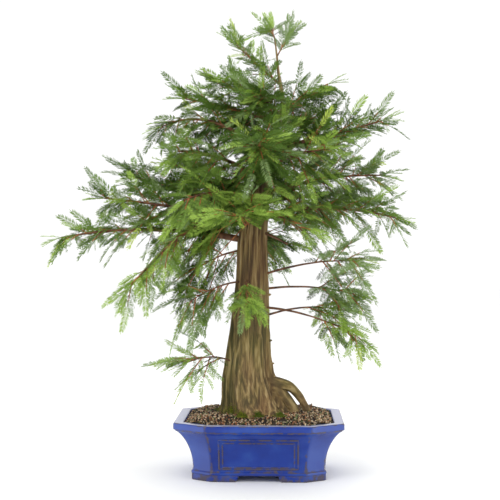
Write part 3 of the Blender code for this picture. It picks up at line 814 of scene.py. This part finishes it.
def grow_twig(limb, share, hand, rng, foliage, twigs, limb_green):
    """One twig at a share of its limb's length, with pairs of sprays and one at its tip."""
    along = limb.along(share)
    level_side = UP.cross(along).normalized() * hand
    tilt = math.radians(rng.uniform(-TWIG_TILT, TWIG_TILT))
    side = level_side * math.cos(tilt) + UP * math.sin(tilt)
    angle = math.radians(TWIG_ANGLE + rng.uniform(-TWIG_SWAY, TWIG_SWAY))
    direction = along * math.cos(angle) + side * math.sin(angle)
    direction = (direction - UP * limb.droop * 0.4).normalized()
    progress = (share - limb.first) / (limb.end - limb.first)
    narrowing = CROWN_NARROWING if limb.height > CROWN_FOOT else LOW_NARROWING
    reach = limb.spread * (TWIG_REACH - narrowing * progress) * rng.uniform(0.6, 1.15)
    length = max(reach - SPRAY_LENGTH * 0.55, TWIG_LEAST)
    origin = limb.point(share)
    sag = limb.droop * 0.35

    def place(part):
        return origin + direction * length * part - UP * sag * length * part**2

    if over_trunk(place(1)):
        return
    steps = 4
    points = [place(step / steps) for step in range(steps + 1)]
    radii = [TWIG_RADIUS * (1 - TWIG_TAPER * step / steps) for step in range(steps + 1)]
    twigs.add(tube_arrays(points, radii, 4))
    gap = SPRAY_SPACING * (2 if limb.height > LEADER_FOOT else 1)
    count = max(2, round(length / gap))
    across = direction.cross(UP).normalized()
    points_at_viewer = limb.out.y < -0.9
    for step in range(count + 1):
        part = (step + 0.6) / (count + 0.6)
        base = place(part)
        outer = min(1, 0.55 * progress + 0.5 * part)
        normal = UP * rng.uniform(0.15, 1.0) + limb.out * rng.uniform(0, 0.8)
        normal += limb.side * rng.uniform(-0.8, 0.8)
        hang = UP * limb.droop * rng.uniform(0.5, 1.1)
        green = pick_green(rng, limb_green, outer)
        if step == count:
            foliage.add(base, direction - hang, normal, rng.uniform(0.95, 1.2), green)
            continue
        for sign in (1, -1):
            left_out = 0 if points_at_viewer else INNER_GAPS * (1.3 - outer)
            if rng.random() < left_out:
                continue
            turn = math.radians(rng.uniform(38, 62))
            splay = direction * math.cos(turn) + across * sign * math.sin(turn)
            splay += UP * rng.uniform(-0.25, 0.25)
            foliage.add(base, splay - hang, normal, rng.uniform(0.62, 1.0), green)


def grow_limb(limb, foliage, boughs, twigs):
    """A limb's wood, its twigs on alternate sides, and three sprays at its tip."""
    rng = random.Random(SEED * 100 + limb.index)
    rings = max(8, round(limb.reach / BOUGH_STEP))
    shares = [limb.end * step / rings for step in range(rings + 1)]
    points = [limb.point(share) for share in shares]
    radii = [max(limb.radius(share), 0.0008) for share in shares]

    def relief(index, turn):
        ring = Vector((math.cos(turn), math.sin(turn), limb.index))
        return 1 + BOUGH_RELIEF * noise.noise(ring * 1.7 + Vector((0, 0, index * 0.35)))

    boughs.add(tube_arrays(points, radii, 8, relief))
    limb_green = LIGHT if limb.name in LIGHT_LIMBS else rng.choice((MID, MID, DEEP, DEEP, GREY))
    length = limb.reach * (limb.end - limb.first)
    in_front = limb.name.startswith("front") and limb.height > CROWN_FOOT
    spacing = FRONT_SPACING if in_front else TWIG_SPACING
    count = max(4, round(length / spacing))
    for step in range(count):
        share = limb.first + (limb.end - limb.first) * (step + 0.5) / count
        hand = 1 if step % 2 else -1
        grow_twig(limb, share, hand, rng, foliage, twigs, limb_green)
    tip = limb.point(limb.end)
    forward = limb.along(limb.end) - UP * limb.droop * 0.3
    for _ in range(3):
        turn = Vector([rng.uniform(-0.35, 0.35) for _ in range(3)])
        foliage.add(tip, forward + turn, UP + turn, rng.uniform(0.8, 1.0), LIGHT)


def make_crown():
    limbs = [Limb(index, sizes) for index, sizes in enumerate(LIMBS)]
    foliage = Foliage()
    boughs = Joined()
    twigs = Joined()
    for limb in limbs:
        grow_limb(limb, foliage, boughs, twigs)
    brown = wood_material("bough_wood", (0.065, 0.026, 0.012), (0.260, 0.115, 0.052))
    orange = wood_material("twig_wood", (0.230, 0.060, 0.018), (0.520, 0.180, 0.055))
    wood = boughs.build("boughs", [brown])
    fine = twigs.build("twigs", [orange])
    needles = foliage.build([needle_material(name, colour) for name, colour in GREENS])
    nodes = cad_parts
    for obj in (wood, fine, *needles):
        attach(obj, "root")
    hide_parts(*sorted(name for name in nodes if name.startswith("bough_")))
    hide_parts(*sorted(name for name in nodes if name.startswith("mass_")))


# Pot


def octagon(inset, height, rounding=EDGE_ROUNDING):
    """The pot's outline at a height, moved in by an inset, and how worn each of its points is."""
    half_x = POT_LENGTH / 2 - inset
    half_y = POT_DEPTH / 2 - inset
    slant = math.hypot(CORNER_LENGTH, CORNER_DEPTH)
    along_x = POT_LENGTH / 2 - CORNER_LENGTH - inset * (slant - CORNER_LENGTH) / CORNER_DEPTH
    along_y = POT_DEPTH / 2 - CORNER_DEPTH - inset * (slant - CORNER_DEPTH) / CORNER_LENGTH
    quarter = ((half_x, along_y), (along_x, half_y))
    corners = []
    for sign_x, sign_y in ((1, 1), (-1, 1), (-1, -1), (1, -1)):
        pair = quarter if sign_x * sign_y > 0 else reversed(quarter)
        corners += [Vector((sign_x * x, sign_y * y, height)) for x, y in pair]
    if rounding == 0:
        return corners, [1] * len(corners)
    ring = []
    wear_and_shade = []
    for index, corner in enumerate(corners):
        before = (corners[index - 1] - corner).normalized()
        after = (corners[(index + 1) % len(corners)] - corner).normalized()
        start = corner + before * rounding * 2
        end = corner + after * rounding * 2
        middle = (start + corner * 2 + end) / 4
        ring += [corner + before * rounding * 4, start, middle, end, corner + after * rounding * 4]
        wear_and_shade += [0, 0.7, 1, 0.7, 0]
    return ring, wear_and_shade


def wall_inset(height):
    """How far the wall's outside lies in from the rim, at a height."""
    rise = (height - WALL_BOTTOM) / (WALL_TOP - WALL_BOTTOM)
    rise = min(max(rise, 0), 1)
    return RIM_STEP + (WALL_INSET - RIM_STEP) * (1 - rise**2) ** WALL_CURVE


def pot_profile():
    """(height, inset, wear) from the underside round the rim and down the inside."""
    ledge = WALL_INSET - LEDGE_OUT
    profile = [
        (FOOT_HEIGHT, FLOOR_INSET, 0),
        (FOOT_HEIGHT, WALL_INSET, 0.6),
        (FOOT_HEIGHT + 0.001, ledge + 0.001, 1),
        (FOOT_HEIGHT + 0.003, ledge, 0.5),
        (FOOT_HEIGHT + 0.006, ledge, 0.5),
        (FOOT_HEIGHT + 0.008, ledge + 0.001, 1),
        (FOOT_HEIGHT + 0.0095, WALL_INSET - 0.0005, 0.8),
    ]
    steps = 22
    for step in range(steps + 1):
        share = 1 - (1 - step / steps) ** 1.6
        height = WALL_BOTTOM + (WALL_TOP - WALL_BOTTOM) * share
        profile.append((height, wall_inset(height), 0.25 if 0 < step < steps else 0.8))
    rim = POT_HEIGHT - RIM_HEIGHT
    profile += [
        (rim - 0.0008, RIM_STEP * 0.8, 0.9),
        (rim, 0.0015, 1),
        (rim + 0.0015, 0, 0.9),
        (rim + 0.004, 0, 0.2),
        (POT_HEIGHT - 0.005, 0, 0.2),
        (POT_HEIGHT - 0.0018, 0.0004, 0.8),
        (POT_HEIGHT - 0.0004, 0.0016, 1),
        (POT_HEIGHT, 0.0035, 0.6),
        (POT_HEIGHT, LIP_WIDTH - 0.003, 0.1),
        (POT_HEIGHT - 0.0008, LIP_WIDTH - 0.0006, 0.9),
        (POT_HEIGHT - 0.003, LIP_WIDTH, 0.5),
        (POT_HEIGHT - 0.020, LIP_WIDTH + 0.003, 0),
    ]
    return profile


# Sets the point attribute that turns the glaze brown: wear on the pot, and painted shade on the feet
def set_wear_and_shade(obj, values):
    attribute = obj.data.attributes.new("wear_and_shade", "FLOAT", "POINT")
    attribute.data.foreach_set("value", np.asarray(values, np.float32))


def make_pot(glaze):
    points = []
    wear_and_shade = []
    profile = pot_profile()
    for height, inset, level_wear in profile:
        ring, corner_wear = octagon(inset, height)
        points += [tuple(point) for point in ring]
        wear_and_shade += [max(level_wear, 0.85 * corner) for corner in corner_wear]
    faces = ring_faces(len(profile), len(points) // len(profile))
    pot = mesh_object("pot_body", points, faces, [glaze])
    set_wear_and_shade(pot, wear_and_shade)
    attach(pot, "root")
    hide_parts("pot")
    floor = [tuple(point) for point in octagon(FLOOR_INSET, FOOT_HEIGHT, 0)[0]]
    under = mesh_object("pot_underside", floor, [(7, 6, 5, 4), (7, 4, 3, 0), (3, 2, 1, 0)], [glaze])
    set_wear_and_shade(under, [0] * len(floor))
    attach(under, "root")


def outline_path(corners, steps):
    """Points along the sides of an outline, from its first corner round to it again."""
    path = []
    for (x0, z0), (x1, z1) in zip(corners, corners[1:] + corners[:1]):
        for step in range(steps):
            share = step / steps
            path.append((x0 + (x1 - x0) * share, z0 + (z1 - z0) * share))
    return path + corners[:1]


def make_panel_frames(glaze):
    """Two raised lines round a field on each straight side of the pot."""
    sides = (
        (PANEL_HALF_LONG, POT_DEPTH / 2, 0),
        (PANEL_HALF_LONG, POT_DEPTH / 2, 180),
        (PANEL_HALF_SHORT, POT_LENGTH / 2, 90),
        (PANEL_HALF_SHORT, POT_LENGTH / 2, 270),
    )
    lines = Joined()
    for half, reach, turn in sides:
        for shrink, radius in PANEL_LINES:
            edge = half - shrink
            low = PANEL_BOTTOM + shrink * 0.4
            high = PANEL_TOP - shrink
            path = outline_path([(-edge, low), (edge, low), (edge, high), (-edge, high)], 10)
            rotation = Matrix.Rotation(math.radians(turn), 3, "Z")
            points = [rotation @ Vector((x, -(reach - wall_inset(z)), z)) for x, z in path]
            lines.add(tube_arrays(points, [radius] * len(points), 8))
    obj = lines.build("pot_panel_frames", [glaze])
    set_wear_and_shade(obj, [1.0] * len(obj.data.vertices))
    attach(obj, "root")


def foot_end(corner, on_long_side, share):
    """Where a foot's wall ends, on its way from a corner to the middle of the pot's side."""
    if on_long_side:
        return Vector((math.copysign(FOOT_GAP_LONG / 2 + FOOT_SLOPE * share, corner.x), corner.y, 0))
    return Vector((corner.x, math.copysign(FOOT_GAP_SHORT / 2 + FOOT_SLOPE * share, corner.y), 0))


def foot_wall(first, last, first_on_long_side):
    """Rows of four points up a foot's wall: an end, the pot's two corners and the other end."""
    points = []
    for height, share in FOOT_LEVELS:
        tuck = FOOT_TUCK if height == 0 else 1
        ends = (
            foot_end(first, first_on_long_side, share),
            foot_end(last, not first_on_long_side, share),
        )
        for point in (ends[0], first, last, ends[1]):
            points.append(point * tuck + UP * height)
    return points


def make_feet(glaze):
    """Four brackets that wrap round the corners, with sloping ends."""
    outer = octagon(FOOT_INSET - FOOT_OUT, 0, 0)[0]
    inner = octagon(FOOT_INSET + FOOT_WIDTH * 0.6, 0, 0)[0]
    per_row = 4
    per_wall = len(FOOT_LEVELS) * per_row
    faces = []
    for row in range(len(FOOT_LEVELS) - 1):
        for step in range(per_row - 1):
            a = row * per_row + step
            b = per_wall + a
            faces.append((a, a + 1, a + 1 + per_row, a + per_row))
            faces.append((b + 1, b, b + per_row, b + 1 + per_row))
        for a in (row * per_row, row * per_row + per_row - 1):
            faces.append((a, a + per_row, per_wall + a + per_row, per_wall + a))
    for a in range(per_row - 1):
        faces.append((a + 1, a, per_wall + a, per_wall + a + 1))
    feet = Joined()
    wear_and_shade = []
    for corner in range(4):
        pair = slice(corner * 2, corner * 2 + 2)
        first_on_long_side = corner % 2 == 1
        points = foot_wall(*outer[pair], first_on_long_side) + foot_wall(*inner[pair], first_on_long_side)
        feet.add((points, faces))
        # The feet's bottom edges are worn to brown (1.1); the rest of each foot gets brown patches too
        # (0.88), as painted shade under the pot
        wear_and_shade += [1.1 if point.z < 0.003 else 0.88 for point in points]
    obj = feet.build("pot_feet", [glaze])
    set_wear_and_shade(obj, wear_and_shade)
    obj.data.set_sharp_from_angle(angle=math.radians(35))
    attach(obj, "root")


# Soil, grit and moss


def soil_height(x, y):
    """The mound's surface: level under the trunk, and falling to the pot's wall."""
    across = max(
        abs(x - MOUND_CENTRE[0]) / (MOUND_LENGTH / 2),
        abs(y - MOUND_CENTRE[1]) / (MOUND_DEPTH / 2),
    )
    edge = max(abs(x) / (POT_LENGTH / 2 - LIP_WIDTH), abs(y) / (POT_DEPTH / 2 - LIP_WIDTH))
    if across <= MOUND_FLAT:
        return SOIL_TOP
    share = min(max((edge - SLOPE_START) / (1 - SLOPE_START), 0), 1)
    return SOIL_TOP + (SOIL_EDGE - SOIL_TOP) * share**SLOPE_CURVE


def inside_pot(x, y, margin):
    """True for a place that lies in from the lip by a margin."""
    inset = LIP_WIDTH + margin
    half_x = POT_LENGTH / 2 - inset
    half_y = POT_DEPTH / 2 - inset
    if abs(x) > half_x or abs(y) > half_y:
        return False
    cut = abs(x) / CORNER_LENGTH + abs(y) / CORNER_DEPTH
    limit = (POT_LENGTH / 2) / CORNER_LENGTH + (POT_DEPTH / 2 - CORNER_DEPTH) / CORNER_DEPTH
    slack = inset * math.hypot(CORNER_LENGTH, CORNER_DEPTH) / (CORNER_LENGTH * CORNER_DEPTH)
    return cut < limit - slack


def grain_template(rng):
    """A rough grain: the six sides of a box with uneven corners."""
    corners = []
    for x in (-1, 1):
        for y in (-1, 1):
            for z in (-1, 1):
                jitter = [rng.uniform(0.62, 1.0) for _ in range(3)]
                corners.append((x * jitter[0], y * jitter[1], z * jitter[2] * 0.8))
    faces = ((0, 1, 3, 2), (4, 6, 7, 5), (0, 4, 5, 1), (2, 3, 7, 6), (0, 2, 6, 4), (1, 5, 7, 3))
    return np.array(corners), np.array(faces)


def make_soil_bed():
    """A dark bed under the grit, which fills the pot."""
    margin = 0.002
    steps = BED_STEPS
    points = []
    for row in range(steps + 1):
        for column in range(steps + 1):
            x = (column / steps - 0.5) * (POT_LENGTH - 2 * LIP_WIDTH - 2 * margin)
            y = (row / steps - 0.5) * (POT_DEPTH - 2 * LIP_WIDTH - 2 * margin)
            while not inside_pot(x, y, margin):
                x *= 0.99
                y *= 0.99
            points.append((x, y, soil_height(x, y) - BED_SINK))
    faces = []
    for row in range(steps):
        for column in range(steps):
            a = row * (steps + 1) + column
            faces.append((a, a + 1, a + steps + 2, a + steps + 1))
    dark = plain_material("soil_bed", (0.045, 0.030, 0.020), 0.95)
    bed = mesh_object("soil_bed", points, faces, [dark])
    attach(bed, "root")
    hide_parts("soil")


def make_grit():
    """Loose grains of mixed colours over the bed."""
    rng = random.Random(SEED * 3)
    materials = []
    for name, colour in GRITS:
        shade = tuple(value * 0.6 for value in colour)
        materials.append(wood_material(name, shade, colour))
    kinds = [grain_template(rng) for _ in range(GRAIN_KINDS)]
    points = []
    faces = []
    indices = []
    count = 0
    while len(points) < GRAIN_COUNT:
        x = rng.uniform(-0.5, 0.5) * (POT_LENGTH - 2 * LIP_WIDTH)
        y = rng.uniform(-0.5, 0.5) * (POT_DEPTH - 2 * LIP_WIDTH)
        if not inside_pot(x, y, 0.003):
            continue
        size = GRAIN_SIZE * rng.uniform(0.5, 1.15) / 2
        shape, quads = rng.choice(kinds)
        turn = Matrix.Rotation(rng.uniform(0, 6.3), 3, Vector([rng.uniform(-1, 1) for _ in range(3)]))
        lift = soil_height(x, y) + rng.uniform(-0.0015, 0.0015)
        points.append(shape @ np.array(turn) * size + np.array((x, y, lift)))
        faces.append(quads + count)
        indices.append(np.full(len(quads), rng.choice(GRIT_SHARES)))
        count += len(shape)
    grit = mesh_object(
        "soil_grit", np.concatenate(points), np.concatenate(faces), materials,
        np.concatenate(indices), smooth=False,
    )
    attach(grit, "root")


def make_moss():
    """Short blades that climb the trunk's foot and creep over the grit round it."""
    rng = random.Random(SEED * 5)
    light = plain_material("moss_light", (0.260, 0.290, 0.020), 0.8)
    deep = plain_material("moss_deep", (0.095, 0.160, 0.016), 0.8)
    points = []
    faces = []
    indices = []
    for middle, width, climb, shade in MOSS:
        for _ in range(MOSS_BLADES):
            turn = math.radians(middle + width * rng.gauss(0, 0.45))
            rise = min(max(rng.gauss(0, 0.42), -1.3), 1.3)
            height = GROUND + max(rise, 0) * climb
            place, radius = between(TRUNK_LINE, height)
            reach = radius * bark_relief(turn, height, radius) + max(-rise, 0) * MOSS_CREEP
            root = np.array((place + reach * math.cos(turn), reach * math.sin(turn), height - 0.0005))
            outward = np.array((math.cos(turn), math.sin(turn), 0.7))
            lean = outward + np.array([rng.uniform(-0.8, 0.8) for _ in range(3)])
            lean /= np.linalg.norm(lean)
            across = np.cross(lean, [rng.uniform(-1, 1) for _ in range(3)])
            across *= BLADE_HALF_WIDTH / max(np.linalg.norm(across), 1e-6)
            blade = lean * rng.uniform(*BLADE_LENGTHS)
            first = len(points)
            points += [root - across, root + across, root + blade * 0.6 + across * 0.7, root + blade]
            faces.append((first, first + 1, first + 2, first + 3))
            indices.append(shade if rng.random() < 0.7 else 1 - shade)
    moss = mesh_object("moss", points, faces, [light, deep], indices, smooth=False)
    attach(moss, "root")


# Stage


def make_stage():
    corners = [(FLOOR_REACH * x, FLOOR_REACH * y, 0) for x, y in ((-1, -1), (1, -1), (1, 1), (-1, 1))]
    white = plain_material("studio_floor", (FLOOR_WHITE,) * 3, 0.9)
    floor = mesh_object("studio_floor", corners, [(0, 1, 2, 3)], [white])
    world = bpy.data.worlds.new("studio")
    world.use_nodes = True
    background = world.node_tree.nodes["Background"]
    background.inputs["Color"].default_value = (1, 1, 1, 1)
    background.inputs["Strength"].default_value = WORLD_STRENGTH
    bpy.context.scene.world = world
    for name, place, energy, width in LIGHTS:
        data = bpy.data.lights.new(name, "AREA")
        data.energy = energy
        data.size = width
        lamp = bpy.data.objects.new(name, data)
        lamp.location = Vector(place) + SHIFT
        aim = SHIFT + UP * LIGHT_AIM_HEIGHT - lamp.location
        lamp.rotation_euler = aim.to_track_quat("-Z", "Y").to_euler()
        bpy.context.scene.collection.objects.link(lamp)
    bpy.context.scene.view_settings.view_transform = "Standard"


def make_camera():
    data = bpy.data.cameras.new("camera")
    data.lens = FOCAL_PIXELS / IMAGE_SIZE * SENSOR
    data.sensor_width = SENSOR
    camera = bpy.data.objects.new("camera", data)
    ahead = Vector((math.sin(CAMERA_TURN), math.cos(CAMERA_TURN), 0))
    right = Vector((math.cos(CAMERA_TURN), -math.sin(CAMERA_TURN), 0))
    camera.location = SHIFT + right * CAMERA_SIDE - ahead * CAMERA_DISTANCE + UP * CAMERA_HEIGHT
    camera.rotation_euler = ahead.to_track_quat("-Z", "Y").to_euler()
    bpy.context.scene.collection.objects.link(camera)
    bpy.context.scene.camera = camera


make_camera()
make_stage()
bark = bark_material("bark", (1, 1, 0.06))
root_bark = bark_material("root_bark", (0.22, 1, 0.20))
make_trunk(bark)
make_flying_root(root_bark)
make_stubs(root_bark)
make_crown()
glaze = glaze_material()
make_pot(glaze)
make_panel_frames(glaze)
make_feet(glaze)
make_soil_bed()
make_grit()
make_moss()
